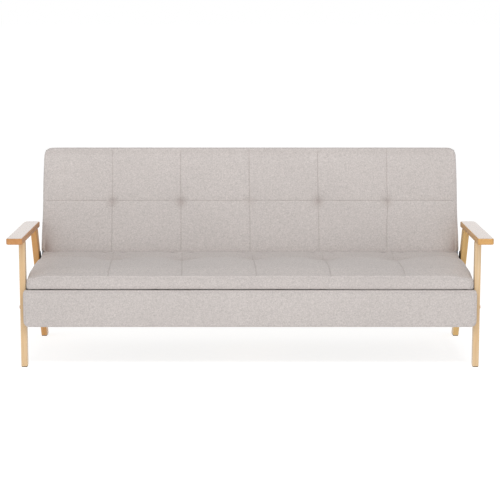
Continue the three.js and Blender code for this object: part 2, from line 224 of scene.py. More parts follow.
def fabric_material(name, colour):
    """Plain woven cloth of mixed yarns, with flecks of lighter and darker yarn, and painted shade from the
    pads' seam attribute.
    """
    n = Nodes(name)
    uv = n.add("UVMap", uv_map="weave").outputs[0]
    parts = n.add("SeparateXYZ", {0: uv})
    yarns = 1 / 0.0016  # yarns in a metre
    warp = n.math("MULTIPLY", parts.outputs[0], yarns * math.pi)
    weft = n.math("MULTIPLY", parts.outputs[1], yarns * math.pi)
    warp_high = n.math("ABSOLUTE", n.math("SINE", warp))
    weft_high = n.math("ABSOLUTE", n.math("SINE", weft))
    over = n.math("MULTIPLY", n.math("SINE", warp), n.math("SINE", weft))
    over = n.spread(over, -0.4, 0.4)
    weave = n.mix(over, warp_high, weft_high)

    # a yarn's shade changes along it: the patches are 2 mm wide and about 5 mm long
    warp_yarns = n.patches(n.stretched(uv, (500, 190, 1)))
    weft_yarns = n.patches(n.stretched(uv, (190, 500, 1)))
    yarn = n.mix(over, warp_yarns, weft_yarns)
    flecks = n.noise(n.stretched(uv, (170, 170, 1)), 1.0, 3.0, 0.7)
    broad = n.noise(n.stretched(uv, (3, 3, 1)), 1.0, 2.0)
    light = rgb(*(min(1, c * 1.42) for c in colour))
    dark = rgb(*(c * 0.60 for c in colour))
    shade = n.mix(n.spread(yarn, 0.0, 1.0, 0.26, 0.74), dark, light)
    shade = n.mix(n.spread(flecks, 0.50, 0.72, 0.0, 0.25), shade, dark)
    shade = n.mix(n.spread(flecks, 0.50, 0.28, 0.0, 0.25), shade, light)
    shade = n.mix(n.spread(broad, 0.3, 0.7, 0.0, 0.12), shade, dark)
    # painted shade: the seam attribute darkens the cloth towards the shaded colour in sewn grooves, tufts'
    # hollows, folds, corners and edges
    seam = n.add("Attribute", attribute_name="seam").outputs["Fac"]
    shaded = rgb(*(c * k for c, k in zip(colour, PAINTED_SHADE_TINT)))
    shade = n.mix(n.math("MULTIPLY", seam, 0.45), shade, shaded)
    height = n.math("ADD", n.math("MULTIPLY", weave, 0.7), n.math("MULTIPLY", yarn, 0.6))
    n.bump(height, 0.35, 0.0005)
    return n.finish(
        Base_Color=shade, Roughness=0.92, Sheen_Weight=0.25, Sheen_Roughness=0.45, Specular_IOR_Level=0.25
    )


def thread_material(name, colour):
    """Twisted sewing thread."""
    n = Nodes(name)
    place = n.add("TexCoord").outputs["Object"]
    twist = n.noise(place, 1500.0, 2.0)
    tone = n.mix(n.spread(twist, 0.35, 0.65), rgb(*(c * 0.8 for c in colour)), rgb(*colour))
    n.bump(twist, 0.3, 0.0002)
    return n.finish(Base_Color=tone, Roughness=0.6, Sheen_Weight=0.2)


def wood_material(name, pale, deep, turn=(0, 0, 0), gloss=0.36, coat=0.25, level=0.3, relief=1.0):
    """Clear lacquered hardwood whose grain runs along Z before the turn. The relief says how much
    of the grain's pores is left open by the lacquer."""
    n = Nodes(name)
    place = n.add("TexCoord").outputs["Object"]
    turned = n.stretched(place, (1, 1, 1), turn)
    grain = n.noise(n.stretched(turned, (70, 70, 2.2)), 1.0, 4.0, 0.55)
    figure = n.noise(n.stretched(turned, (16, 16, 1.1)), 1.0, 2.0)
    fibres = n.noise(n.stretched(turned, (900, 900, 14)), 1.0, 2.0)
    blotch = n.noise(turned, 9.0, 2.0)
    tone = n.mix(n.spread(grain, 0.36, 0.66), rgb(*pale), rgb(*deep))
    tone = n.mix(n.spread(figure, 0.42, 0.62, 0.0, 0.5), tone, rgb(*deep))
    tone = n.mix(n.spread(blotch, 0.35, 0.7, 0.0, 0.25), tone, rgb(*pale))
    pores = rgb(*(c * 0.55 for c in deep))
    tone = n.mix(n.spread(fibres, 0.6, 0.8, 0.0, 0.35 * relief), tone, pores)
    n.bump(fibres, 0.12 * relief, 0.0004)
    rough = n.spread(grain, 0.3, 0.7, gloss, gloss + 0.12 * relief)
    values = dict(Coat_Weight=coat, Coat_Roughness=0.06, Specular_IOR_Level=level)
    return n.finish(Base_Color=tone, Roughness=rough, **values)


def timber_material(name, colour, turn=(0, 0, 0)):
    """Planed softwood without a finish."""
    n = Nodes(name)
    place = n.stretched(n.add("TexCoord").outputs["Object"], (1, 1, 1), turn)
    grain = n.noise(n.stretched(place, (90, 90, 2.5)), 1.0, 4.0, 0.6)
    blotch = n.noise(place, 6.0, 2.0)
    tone = n.mix(n.spread(grain, 0.35, 0.68), rgb(*colour), rgb(*(c * 0.72 for c in colour)))
    tone = n.mix(n.spread(blotch, 0.4, 0.7, 0.0, 0.3), tone, rgb(*(c * 0.8 for c in colour)))
    n.bump(grain, 0.2, 0.0006)
    return n.finish(Base_Color=tone, Roughness=0.72)


def metal_material(name, colour, metallic, roughness, mottle):
    n = Nodes(name)
    place = n.add("TexCoord").outputs["Object"]
    fine = n.noise(place, 900.0, 3.0)
    broad = n.noise(place, 60.0, 3.0)
    tone = n.mix(n.spread(broad, 0.3, 0.7, 0.0, mottle), rgb(*colour), rgb(*(c * 0.6 for c in colour)))
    n.bump(fine, 0.15, 0.0002)
    rough = n.spread(broad, 0.3, 0.7, roughness, roughness + 0.15)
    return n.finish(Base_Color=tone, Metallic=metallic, Roughness=rough)


def dust_cloth_material():
    """Thin black non-woven cloth with its small pressed dimples."""
    n = Nodes("dust_cloth")
    place = n.add("TexCoord").outputs["Object"]
    dimples = n.add("TexVoronoi", {"Vector": place, "Scale": 420.0}).outputs["Distance"]
    fibres = n.noise(place, 700.0, 4.0, 0.7)
    tone = n.mix(n.spread(fibres, 0.35, 0.7), rgb(0.018, 0.018, 0.02), rgb(0.045, 0.045, 0.048))
    n.bump(n.math("ADD", dimples, fibres), 0.4, 0.0006)
    return n.finish(Base_Color=tone, Roughness=0.9, Sheen_Weight=0.15)


GREIGE = (0.479, 0.441, 0.424)
# colour of the painted shade: the share of each colour that is left where it is deepest
PAINTED_SHADE_TINT = (0.54, 0.46, 0.43)  # share of each colour that is left in the deepest fold
fabric = fabric_material("upholstery", GREIGE)
turn_to_y = (math.pi / 2, 0, 0)
turn_to_x = (0, math.pi / 2, 0)
turn_to_rake = (-LEG_RAKE, 0, 0)
# boards of the same wood differ: the right armrest and the right rear leg are paler than the left
leg_wood = wood_material("leg_wood", (0.67, 0.51, 0.325), (0.58, 0.385, 0.20))
raked_wood = wood_material("raked_wood", (0.65, 0.35, 0.124), (0.52, 0.26, 0.079), turn_to_rake)
pale_raked_wood = wood_material("pale_raked_wood", (0.72, 0.48, 0.190), (0.58, 0.355, 0.122), turn_to_rake)
arm_wood = wood_material("arm_wood", (0.51, 0.245, 0.090), (0.42, 0.187, 0.061), turn_to_y)
pale_arm_wood = wood_material("pale_arm_wood", (0.62, 0.355, 0.123), (0.51, 0.271, 0.084), turn_to_y)
# the armrests' top faces take a darker copy of the arm wood with a full clear coat: its darker colour is
# painted shade on the tops, set against the bright reflection the coat gives them
arm_top_wood = wood_material(
    "arm_top_wood",
    (0.36, 0.180, 0.072),
    (0.33, 0.162, 0.063),
    turn_to_y,
    gloss=0.2,
    coat=1.0,
    level=0.6,
    relief=0.1,
)
rail_timber = timber_material("timber_across", (0.62, 0.46, 0.27), turn_to_x)
side_timber = timber_material("timber_along", (0.60, 0.44, 0.26), turn_to_y)
back_timber = timber_material("timber_up", (0.61, 0.45, 0.26), (BACK_TILT, 0, 0))
black_steel = metal_material("black_steel", (0.016, 0.016, 0.018), 0.0, 0.38, 0.5)
zinc_steel = metal_material("zinc_steel", (0.52, 0.52, 0.53), 1.0, 0.3, 0.4)
bronze_steel = metal_material("bronze_steel", (0.30, 0.14, 0.065), 1.0, 0.34, 0.5)
black_rubber = metal_material("black_rubber", (0.02, 0.02, 0.022), 0.0, 0.72, 0.3)
dust_cloth = dust_cloth_material()
thread = thread_material("thread", tuple(c * 0.85 for c in GREIGE))

# ---------------------------------------------------------------- stitched pads


class Pad:
    """A stitched pad over a board. Across is +X, up runs from its foot to its head, and out is
    the way its show face looks: a seat looks up, and a back or a front panel looks forward."""

    def __init__(self, foot, tilt, half, height, corners, rolls):
        self.foot = np.array(foot)
        self.up = np.array((0, math.sin(tilt), math.cos(tilt)))
        self.out = np.array((0, -math.cos(tilt), math.sin(tilt)))
        self.half = half
        self.height = height
        self.corners = corners  # radius of the outline at the foot and at the head
        self.rolls = rolls  # edge radius at the foot, at the sides and at the head
        self.seams_x = ()
        self.seam_height = None
        self.drift = lambda x, h: 0 * x * h  # how far the seams run off to the side
        self.face = lambda x, h: 0 * x * h  # how far out the show face lies
        self.bulge = lambda h, out, side: 0 * h  # how far the edges belly beyond the outline
        # painted shade: how much the cloth's colour is darkened where shade falls, as in hollows
        self.painted_shade = lambda x, h: 0 * x  # how much darker the cloth is, as in hollows
        self.hem = lambda x, h: 0 * x  # how far the cover's end wanders
        self.swelling = None

    def place(self, x, height, out):
        """Points in space from distances across, up and out of the pad."""
        across = np.multiply.outer(x, (1.0, 0, 0))
        return self.foot + across + np.multiply.outer(height, self.up) + np.multiply.outer(out, self.out)

    def flat_limits(self):
        low, side, high = self.rolls
        return self.half - side, low, self.height - high

    def corner_radius(self, end):
        """Radius of the show face's corners, inside the rounded edge, at the foot (0) or the head (1)."""
        roll = (self.rolls[0], self.rolls[2])[end]
        return max(self.corners[end] - (roll + self.rolls[1]) / 2, 0.004)

    def round_corners(self, x, h):
        """Moves grid points near the square corners onto a rounded outline."""
        limit, low, high = self.flat_limits()
        x, h = x.copy(), h.copy()
        for end, edge, sign in ((0, low, -1), (1, high, 1)):
            radius = self.corner_radius(end)
            a = (np.abs(x) - (limit - radius)) / radius
            b = (sign * (h - edge) + radius) / radius
            inside = (a > 0) & (b > 0)
            a, b = np.clip(a, 0, 1), np.clip(b, 0, 1)
            new_a, new_b = a * np.sqrt(1 - b * b / 2), b * np.sqrt(1 - a * a / 2)
            x = np.where(inside, np.sign(x) * (limit - radius + radius * new_a), x)
            h = np.where(inside, edge + sign * radius * (new_b - 1), h)
        return x, h

    def outward(self, x, h):
        """Unit directions out of the outline at points on it."""
        limit, low, high = self.flat_limits()
        radius = np.where(h < (low + high) / 2, self.corner_radius(0), self.corner_radius(1))
        dx = x - np.clip(x, radius - limit, limit - radius)
        dh = h - np.clip(h, low + radius, high - radius)
        length = np.hypot(dx, dh)
        return dx / length, dh / length

    def simulate(self, pressure, slack, cap):
        """Swells the cover between its seams with a cloth simulation; keeps how far it moved."""
        limit, low, high = self.flat_limits()
        xs = np.linspace(-limit, limit, round(2 * limit / SIM_STEP) + 1)
        hs = np.linspace(low, high, round((high - low) / SIM_STEP) + 1)
        x, h = np.meshgrid(xs, hs)
        moved_x = x + self.drift(x, h)
        points = self.place(moved_x, h, self.face(moved_x, h))
        pinned = (np.abs(x) > limit - 1e-6) | (h < low + 1e-6) | (h > high - 1e-6)
        for seam in self.seams_x:
            pinned |= np.abs(x - seam) < SIM_STEP * 0.51
        if self.seam_height is not None:
            pinned |= np.abs(h - self.seam_height) < SIM_STEP * 0.51
        sheet = new_object("sheet", points.reshape(-1, 3), grid_faces(*x.shape))
        group = sheet.vertex_groups.new(name="pinned")
        group.add(np.flatnonzero(pinned).tolist(), 1.0, "REPLACE")
        cloth = sheet.modifiers.new("swell", "CLOTH")
        settings = cloth.settings
        settings.quality = 6
        settings.mass = 0.3
        settings.tension_stiffness = settings.compression_stiffness = 12
        settings.shear_stiffness = 4
        settings.bending_stiffness = 1.5
        settings.vertex_group_mass = "pinned"
        settings.use_pressure = True
        settings.uniform_pressure_force = pressure
        settings.shrink_min = -slack
        settings.effector_weights.gravity = 0
        scene = bpy.context.scene
        for step in range(SIM_FRAMES):
            scene.frame_set(step + 1)
        evaluated = sheet.evaluated_get(bpy.context.evaluated_depsgraph_get())
        swollen = np.zeros(x.size * 3, np.float32)
        evaluated.data.vertices.foreach_get("co", swollen)
        move = swollen.reshape(points.shape) - points
        length = np.linalg.norm(move, axis=2, keepdims=True)
        move *= cap * np.tanh(length / cap) / np.maximum(length, 1e-9)
        bpy.data.objects.remove(sheet)
        scene.frame_set(1)
        self.swelling = (xs, hs, move)

    def swell_at(self, xs, hs):
        if self.swelling is None:
            return 0.0
        sim_x, sim_h, move = self.swelling
        rows = cubic(move, (hs - sim_h[0]) / (sim_h[1] - sim_h[0]))
        across = cubic(rows.swapaxes(0, 1), (xs - sim_x[0]) / (sim_x[1] - sim_x[0]))
        return across.swapaxes(0, 1)

    def build(self, name, rings, material):
        """The closed pad: the show face, then rings round its edge, then a flat back."""
        limit, low, high = self.flat_limits()
        xs = spaced(-limit, limit, GRID_STEP, self.seams_x)
        hs = spaced(low, high, GRID_STEP, () if self.seam_height is None else (self.seam_height,))
        x, h = np.meshgrid(xs, hs)
        flat_x, flat_h = self.round_corners(x + self.drift(x, h), h)
        seam = np.zeros(x.shape)
        for at in self.seams_x:
            seam = np.maximum(seam, bell(x - at, SEAM_WIDTH))
        if self.seam_height is not None:
            seam = np.maximum(seam, 0.8 * bell(h - self.seam_height, SEAM_WIDTH))
        out = self.face(flat_x, flat_h) - SEAM_DEPTH * seam
        face = self.place(flat_x, flat_h, out) + self.swell_at(xs, hs)
        # painted shade: the cloth is darkened in the sewn grooves, and in the hollows, corners and edges
        # that the pad's shade function gives
        shade = np.maximum(SEAM_SHADE * seam, self.painted_shade(x, h))

        rows, cols = x.shape
        rim = grid_rim(rows, cols)
        rim_x, rim_h = flat_x.reshape(-1)[rim], flat_h.reshape(-1)[rim]
        rim_out = out.reshape(-1)[rim]
        side_x, side_h = self.outward(rim_x, rim_h)
        foot_roll, side_roll, head_roll = self.rolls
        end_roll = np.where(side_h < 0, foot_roll, head_roll)
        roll = side_roll * side_x**2 + end_roll * side_h**2
        hem = self.hem(rim_x, rim_h)

        points = [face.reshape(-1, 3)]
        weave = [np.stack([x, h], 2).reshape(-1, 2)]
        shades = [shade.reshape(-1)]
        faces = [grid_faces(rows, cols)]
        previous = rim
        total = rows * cols
        travelled = np.zeros(len(rim))
        last = np.stack([np.zeros(len(rim)), rim_out], 1)
        for ring in rings:
            reach, depth = ring(rim_out, roll, hem)
            below_edge = depth < rim_out - 0.6 * roll
            reach = reach + self.bulge(rim_h, depth, (side_x, side_h)) * below_edge
            here = np.stack([reach, depth], 1)
            travelled = travelled + np.linalg.norm(here - last, axis=1)
            last = here
            points.append(self.place(rim_x + side_x * reach, rim_h + side_h * reach, depth))
            weave.append(np.stack([rim_x + side_x * travelled, rim_h + side_h * travelled], 1))
            shades.append(np.full(len(rim), ring.shade))
            around = total + np.arange(len(rim))
            total += len(rim)
            faces.append(np.stack([np.roll(previous, -1), previous, around, np.roll(around, -1)], 1))
            previous = around
        all_faces = [f for block in faces for f in block] + [previous[::-1]]
        obj = new_object(name, np.concatenate(points), all_faces, material)
        paint(obj, np.concatenate(weave), np.concatenate(shades))
        return obj


# A ring is one loop of points round a pad. It is called with the show face's level at the rim, the
# edge radius and the hem's wander, and returns how far outside the rim it lies, and at what level.


class Roll:
    """A ring on a pad's rounded edge, at an angle from the show face."""

    shade = 0.0

    def __init__(self, degrees):
        self.angle = math.radians(degrees)

    def __call__(self, rim_out, roll, hem):
        return roll * math.sin(self.angle), rim_out - roll * (1 - math.cos(self.angle))


class Wall:
    """A ring on a pad's side, at a share of the way from the rounded edge down to the cover's end. Its
    shade is painted shade, as in a crease.
    """

    def __init__(self, share, end, reach=0.0, shade=0.0):
        self.share, self.end, self.reach, self.shade = share, end, reach, shade

    def __call__(self, rim_out, roll, hem):
        top = rim_out - roll
        return roll + self.reach, top + (self.end + hem - top) * self.share


class Fold:
    """A ring of the cover's turned-in end, at a given depth. Its shade is painted shade, as in a fold."""

    def __init__(self, reach, depth, shade=0.0):
        self.reach, self.depth, self.shade = reach, depth, shade

    def __call__(self, rim_out, roll, hem):
        return roll + self.reach, self.depth + hem


ROLLED_EDGE = [Roll(degrees) for degrees in (18, 36, 54, 72, 90)]


def paint(obj, weave, shade=None):
    """Stores each point's place on the cloth, for the weave, and how much painted shade a seam, a tuft's
    hollow, a fold or a corner gives it.
    """
    mesh = obj.data
    corner = np.zeros(len(mesh.loops), int)
    mesh.loops.foreach_get("vertex_index", corner)
    uv = mesh.uv_layers.new(name="weave")
    uv.data.foreach_set("uv", weave[corner].astype(np.float32).ravel())
    if shade is not None:
        # the seam attribute holds the painted shade
        attribute = mesh.attributes.new("seam", "FLOAT", "POINT")
        attribute.data.foreach_set("value", shade.astype(np.float32))


def at_tufts(x, h, row, strengths, profile):
    """The sum of a profile of the distance to each tuft in a row, with a strength for each tuft."""
    return sum(s * profile(np.hypot(x - at, h - row)) for at, s in zip(TUFT_X, strengths))


def side_free(x, half):
    """One over the pad's middle, fading to nothing at its sides."""
    return 1 - np.clip(np.abs(x) / half, 0, 1) ** 6


def make_stitches(name, pad_object, spots, towards):
    """Rows of stitches on a pad: each is a short bead of thread, sunk a little into the cloth."""
    tree = BVHTree.FromPolygons(
        [v.co for v in pad_object.data.vertices], [p.vertices for p in pad_object.data.polygons]
    )
    points, faces = [], []
    towards = Vector(towards).normalized()
    stops = ((-0.5, 0.25), (-0.36, 0.85), (0.0, 1.0), (0.36, 0.85), (0.5, 0.25))
    sides = 6
    for start, along in spots:
        start, along = Vector(start), Vector(along).normalized()
        hit, normal, _, _ = tree.ray_cast(start - towards * 0.1, towards)
        if hit is None:
            continue
        across = normal.cross(along).normalized()
        run = across.cross(normal).normalized()
        first = len(points)
        for place, size in stops:
            middle = hit + run * (place * STITCH_LENGTH) + normal * THREAD * (0.25 * size - 0.1)
            for i in range(sides):
                turn = 2 * math.pi * i / sides
                radius = THREAD / 2 * size
                sideways, outwards = radius * math.cos(turn), radius * math.sin(turn)
                points.append(middle + across * sideways + normal * outwards)
        for ring in range(len(stops) - 1):
            for i in range(sides):
                a, b = first + ring * sides + i, first + ring * sides + (i + 1) % sides
                faces.append((a, b, b + sides, a + sides))
        faces.append(tuple(range(first + sides - 1, first - 1, -1)))
        last = first + (len(stops) - 1) * sides
        faces.append(tuple(range(last, last + sides)))
    return new_object(name, points, faces, thread)


def finish_piece(obj, body, slot, *replaced):
    """Names the body that a piece rides on, and hides the CAD pieces it stands for. The slot is not used.
    """
    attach(obj, body)
    if replaced:
        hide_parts(*replaced)


def seam_spots(pad, low, high, level):
    """Stitch places over a pad's sewn lines, at a level near its face, each with its direction."""
    spots = []
    for at in pad.seams_x:
        for h in np.arange(low, high, STITCH_PITCH):
            x = at + float(pad.drift(np.array(at), np.array(h)))
            spots.append((pad.place(np.array(x), np.array(h), level), pad.up))
    for x in np.arange(-pad.half + 0.03, pad.half - 0.03, STITCH_PITCH):
        if min(abs(x - at) for at in pad.seams_x) > STITCH_PITCH / 2:
            spots.append((pad.place(np.array(x), np.array(pad.seam_height), level), (1, 0, 0)))
    return spots


def make_back():
    """The back: two rows of six panels, with a blind tuft where the middle seam meets each column."""
    pad = Pad(BACK_FOOT, BACK_TILT, HALF_WIDTH, BACK_HEIGHT, (0.020, 0.034), (0.004, 0.014, 0.013))
    row = 0.2265
    tuft_depths = (0.0080, 0.0095, 0.0060, 0.0092, 0.0080)
    pad.seams_x = TUFT_X
    pad.seam_height = row

    def drift(x, h):
        """The seams lean to the left towards the head, and the last one at the foot as well."""
        leaning = 0.0042 * smoothstep(0.05, 0.40, h) * smoothstep(-0.62, -0.34, x)
        last_seam = 0.0070 * smoothstep(0.42, 0.58, x) * (1 - smoothstep(0.09, 0.21, h))
        return -(leaning + last_seam) * side_free(x, 0.88)

    def face(x, h):
        """The pad is fullest at its foot and thinner towards its sides and its head."""
        crown = 0.005 - 0.004 * smoothstep(0.80, 0.89, np.abs(x)) + 0.004 * (1 - smoothstep(0.0, 0.21, h))
        crown = crown - 0.0090 * smoothstep(0.395, 0.465, h)
        crown = crown - 0.0030 * smoothstep(0.80, 0.89, np.abs(x)) * (1 - smoothstep(0.0, 0.20, h))
        sewn = 0.0005 * bell(h - row, 0.012)
        dents = at_tufts(x - drift(x, h), h, row, tuft_depths, lambda r: tent(r, 0.020))
        return crown - sewn - dents + 0.0006 * ripples(x, h, 11, 0.24)

    def painted_shade(x, h):
        """Painted shade: the tufts' hollows, the lower corners and the edges are darkened, the left corner
        most.
        """
        hollows = at_tufts(x, h, row - 0.006, (0.90, 1.0, 0.50, 0.95, 0.80), lambda r: bell(r, 0.021))
        corners = 1.1 * np.exp((np.abs(x) - pad.half) / 0.024) * (1 - smoothstep(0.03, 0.20, h))
        reach = np.maximum(0.044 - 0.25 * h, 0.005)
        deepest = np.where(x < 0, 1.5, 1.1) * bell(np.abs(x) - pad.half, reach)
        deepest = deepest * (1 - smoothstep(0.02, 0.09, h))
        edges = 0.25 * np.exp(-h / 0.012) + 0.25 * smoothstep(0.415, 0.455, h)
        return hollows + corners + deepest + edges

    def bulge(h, out, side):
        side_x, side_h = side
        foam = smoothstep(-0.05, -0.03, out)
        belly = 0.0015 + 0.0035 * (1 - smoothstep(0.04, 0.20, h)) - 0.0025 * smoothstep(0.30, 0.45, h)
        # behind the foam the cover goes round the square corners of the frame
        square = 0.034 * (1 / np.maximum(np.abs(side_x), np.abs(side_h)) - 1)
        square = np.minimum(square, 0.0125) * (side_h > 0) * (1 - smoothstep(-0.055, -0.030, out))
        level_foot = np.where(side_h < 0, np.maximum(-out, 0) * math.tan(BACK_TILT) * side_h**2, 0)
        return foam * (belly * side_x**2 + 0.003 * np.maximum(side_h, 0)) + square - level_foot

    pad.drift, pad.face, pad.bulge, pad.painted_shade = drift, face, bulge, painted_shade
    pad.simulate(pressure=1.2, slack=0.003, cap=0.0016)
    edge = -BACK_DEPTH
    # the first wall ring is tucked in and carries painted shade, as in the crease under the rolled edge
    rings = ROLLED_EDGE + [
        Wall(0.05, edge, -0.0010, 0.5),
        Wall(0.10, edge),
        Wall(0.30, edge),
        Wall(0.50, edge),
        Wall(0.62, edge),
        Wall(0.80, edge),
        Wall(0.97, edge),
        Fold(-0.0012, edge - 0.0010),
        Fold(-0.0040, edge - 0.0014),
        Fold(-0.0270, edge - 0.0014),
        Fold(-0.0275, edge - 0.0003),
        Fold(-0.0036, edge - 0.0001),
        Fold(-0.0036, -BACK_FOAM),
    ]
    back = pad.build("back_upholstery", rings, fabric)
    finish_piece(back, "back", "upholstery", "back_cushion")
    stitches = make_stitches("back_stitching", back, seam_spots(pad, 0.012, 0.445, 0.0), -pad.out)
    finish_piece(stitches, "back", "upholstery")


def make_seat():
    """The seat: panels and tufts as on the back, and a line of stitches along its front edge."""
    front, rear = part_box("seat_cushion")[0].y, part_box("seat_cushion")[1].y
    corners, rolls = (0.008, 0.022), (0.006, 0.012, 0.028)
    pad = Pad((0, front, 0), math.pi / 2, HALF_WIDTH, rear - front, corners, rolls)
    row = 0.335
    tuft_depths = (0.0240, 0.0255, 0.0180, 0.0245, 0.0235)
    under_back = 0.455  # the cover runs on under the back from here
    pad.seams_x = TUFT_X
    pad.seam_height = row

    def drift(x, h):
        """The cover was sewn slightly askew: its seams run to the right towards the front."""
        forward = np.where(h < row, 0.013 * (1 - h / row), 0.055 * (row - h))
        askew = 0.0137 + 0.0125 * x + 0.008 * smoothstep(-0.35, -0.58, x)
        return (askew + forward) * side_free(x, 0.884)

    def face(x, h):
        """The seat climbs from its front edge, dips at the row of tufts and is pressed under the back."""
        y = h + front - LEG_FRONT  # how far behind the front faces of the front legs
        ahead_of_row = h - row
        rise = 0.3825 + 0.0145 * smoothstep(-0.030, 0.080, y) + 0.0155 * np.clip((y - 0.03) / 0.27, 0, 1)
        rise = rise - 0.0018 * bell(y - 0.006, 0.012) - 0.0095 * smoothstep(-0.030, 0.0, ahead_of_row)
        rise = rise + 0.0045 * smoothstep(0.0, 0.070, ahead_of_row)
        rise = rise + 0.0005 * smoothstep(0.385, 0.415, y) - 0.005 * smoothstep(0.437, under_back, y)
        sides = 0.010 * smoothstep(0.80, 0.885, np.abs(x)) ** 2
        cover = x - drift(x, h)
        columns = sum(0.0010 * bell(cover - at, 0.016) for at in TUFT_X)
        stretched_h = row + ahead_of_row * np.where(ahead_of_row < 0, 0.9, 1.2)
        dents = at_tufts(cover, stretched_h, row, tuft_depths, lambda r: tent(r, 0.052))
        exposed = 1 - smoothstep(0.40, 0.435, y)
        pressed = sum(0.0035 * bell(cover - at, 0.03) for at in TUFT_X) * smoothstep(0.37, 0.425, y)
        return rise + pressed - exposed * (sides + columns + dents - 0.0007 * ripples(x, h, 5, 0.25))

    def painted_shade(x, h):
        """Painted shade: the hollows and the strip behind the row of tufts are darkened."""
        behind = smoothstep(-0.014, -0.004, h - row)
        hollows = at_tufts(x, h, row, (0.6, 0.6, 0.4, 0.6, 0.6), lambda r: tent(r, 0.034))
        return hollows * (0.25 + 0.75 * behind) + 0.17 * behind

    def bulge(h, out, side):
        """The sides belly out towards the front, most of all low down."""
        ahead = 1 - smoothstep(0.24, 0.32, h)
        low = 1 - smoothstep(0.345, 0.372, out)
        return (0.0030 * ahead + 0.0030 * low * ahead + 0.0012) * side[0] ** 2

    pad.drift, pad.face, pad.bulge, pad.painted_shade = drift, face, bulge, painted_shade
    pad.hem = lambda x, h: 0.0011 * ripples(x, h, 8, 0.55)
    pad.simulate(pressure=1.6, slack=0.004, cap=0.004)
    hem = SEAT_FLOOR + 0.0004
    # wall rings by the rolled edge and by the hem, and the first folds, carry painted shade, as in the
    # crease and the gap below
    rings = ROLLED_EDGE + [
        Wall(0.05, hem, -0.0005, 0.15),
        Wall(0.12, hem),
        Wall(0.40, hem),
        Wall(0.70, hem),
        Wall(0.90, hem, 0.0, 0.1),
        Wall(0.94, hem, -0.0003, 0.3),
        Fold(-0.0006, hem - 0.0006, 0.3),
        Fold(-0.0018, hem - 0.0010, 0.3),
        Fold(-0.0031, hem - 0.0004),
        Fold(-0.0033, SEAT_DECK - 0.002),
        Fold(-0.0036, SEAT_DECK - 0.0001),
    ]
    seat = pad.build("seat_upholstery", rings, fabric)
    finish_piece(seat, "seat", "upholstery", "seat_cushion")
    spots = seam_spots(pad, 0.012, under_back - 0.02, 0.4)
    stitches = make_stitches("seat_stitching", seat, spots, -pad.out)
    finish_piece(stitches, "seat", "upholstery")
    line_height = 0.3695
    stitched = np.arange(-0.875, 0.876, STITCH_PITCH)
    edge_line = [((x, front - 0.02, line_height), (1, 0, 0)) for x in stitched]
    top_stitch = make_stitches("seat_edge_stitching", seat, edge_line, (0, 1, 0))
    finish_piece(top_stitch, "seat", "upholstery")


def make_front_panel():
    """The plain upholstered board below the seat."""
    low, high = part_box("front_panel")
    height = high.z - low.z
    thick = high.y - low.y
    pad = Pad((0, high.y, low.z), 0.0, high.x, height, (0.022, 0.013), (0.009, 0.009, 0.008))

    def face(x, h):
        middle = 1 - (2 * h / height - 1) ** 2
        return thick - 0.003 + 0.003 * middle + 0.0006 * ripples(x, h, 21, 0.2)

    pad.face = face
    pad.simulate(pressure=0.8, slack=0.003, cap=0.002)
    rings = ROLLED_EDGE + [
        Wall(0.35, 0.0),
        Wall(0.90, 0.0),
        Fold(-0.0012, 0.0),
        Fold(-0.0040, 0.0),
    ]
    panel = pad.build("front_panel_upholstery", rings, fabric)
    finish_piece(panel, "base", "upholstery", "front_panel")


# ---------------------------------------------------------------- cloth covers


